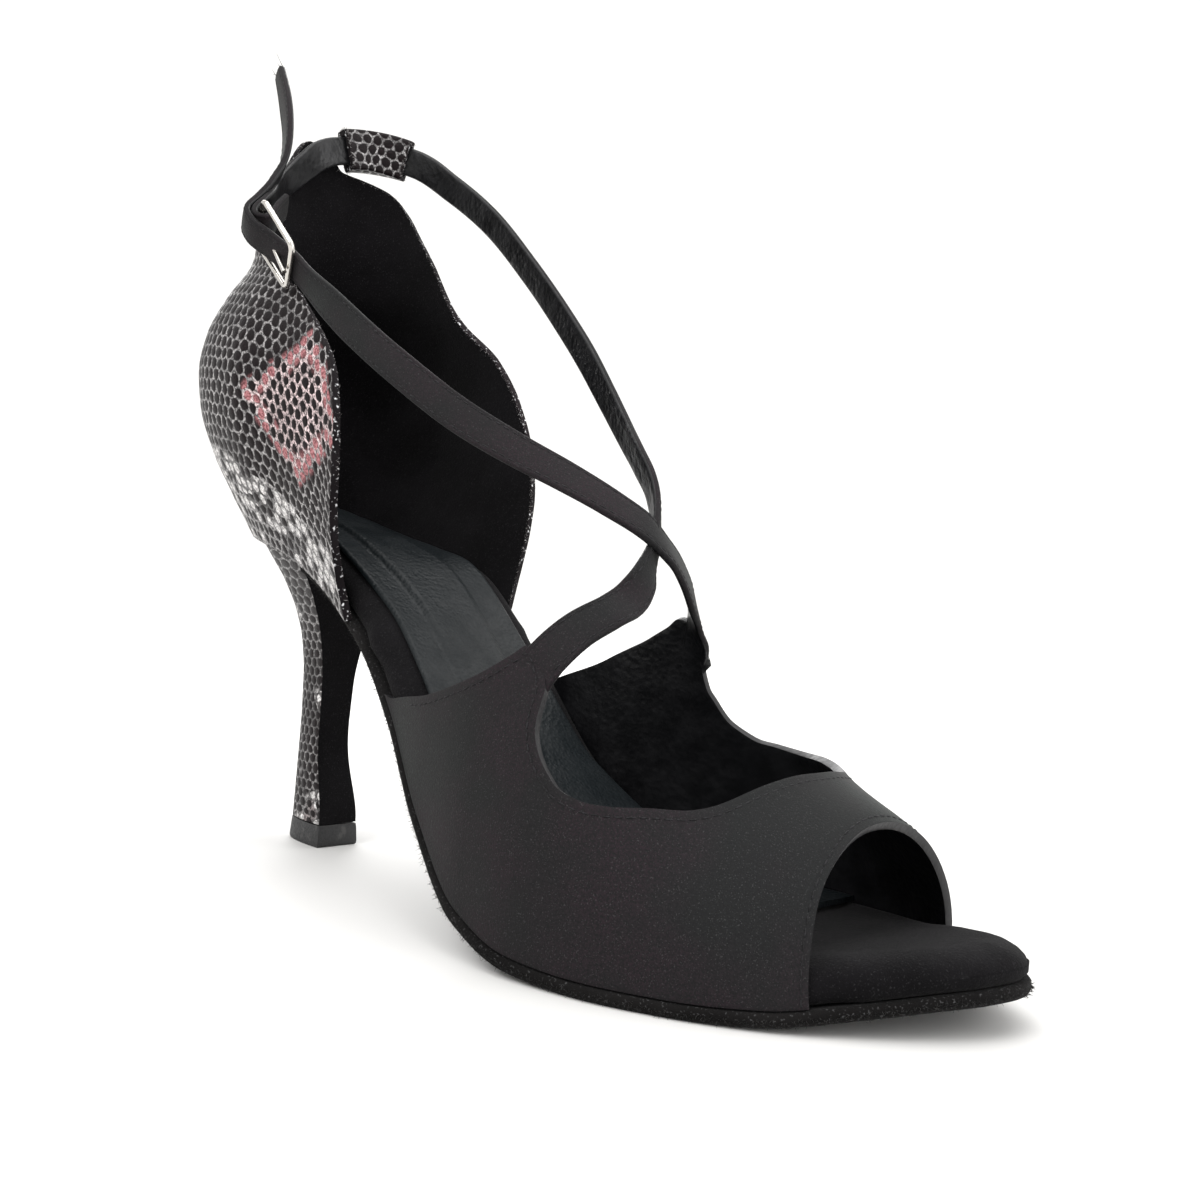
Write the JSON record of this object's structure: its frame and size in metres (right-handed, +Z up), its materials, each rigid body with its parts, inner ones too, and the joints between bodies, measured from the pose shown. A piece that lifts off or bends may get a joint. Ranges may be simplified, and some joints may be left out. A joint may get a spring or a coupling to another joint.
{
  "type": "ballroom dance shoe",
  "caption": "Open-toe dance sandal for the right foot: slim flared heel, heel cup, low vamp, straps crossed over the instep and a buckled ankle strap with a loose tail.",
  "frame": {"origin": "centre of the heel tip's tread, on the floor", "axes": "+X to the toe along the shoe, -Y to the outer (lateral) side, +Z up"},
  "size_m": [0.2186, 0.0815, 0.188],
  "materials": {
    "suede_sole": "rough black suede",
    "suede_insole": "soft black suede",
    "sock_leather": "pebbled dark blue-grey leather",
    "snake_leather": "snake-print leather with a silver sheen",
    "lift_rubber": "matte black rubber",
    "black_nubuck": "fine black nubuck with a soft sheen",
    "buckle_metal": "polished silver"
  },
  "bodies": {
    "root": {"outsole": "suede_sole", "insole": "suede_insole", "sock": "sock_leather", "heel": "snake_leather", "heel_tip": "lift_rubber", "counter": "snake_leather", "upper": "black_nubuck", "strap_loop": "snake_leather", "buckle_frame": "buckle_metal", "buckle_prong": "buckle_metal"}
  },
  "joints": []
}
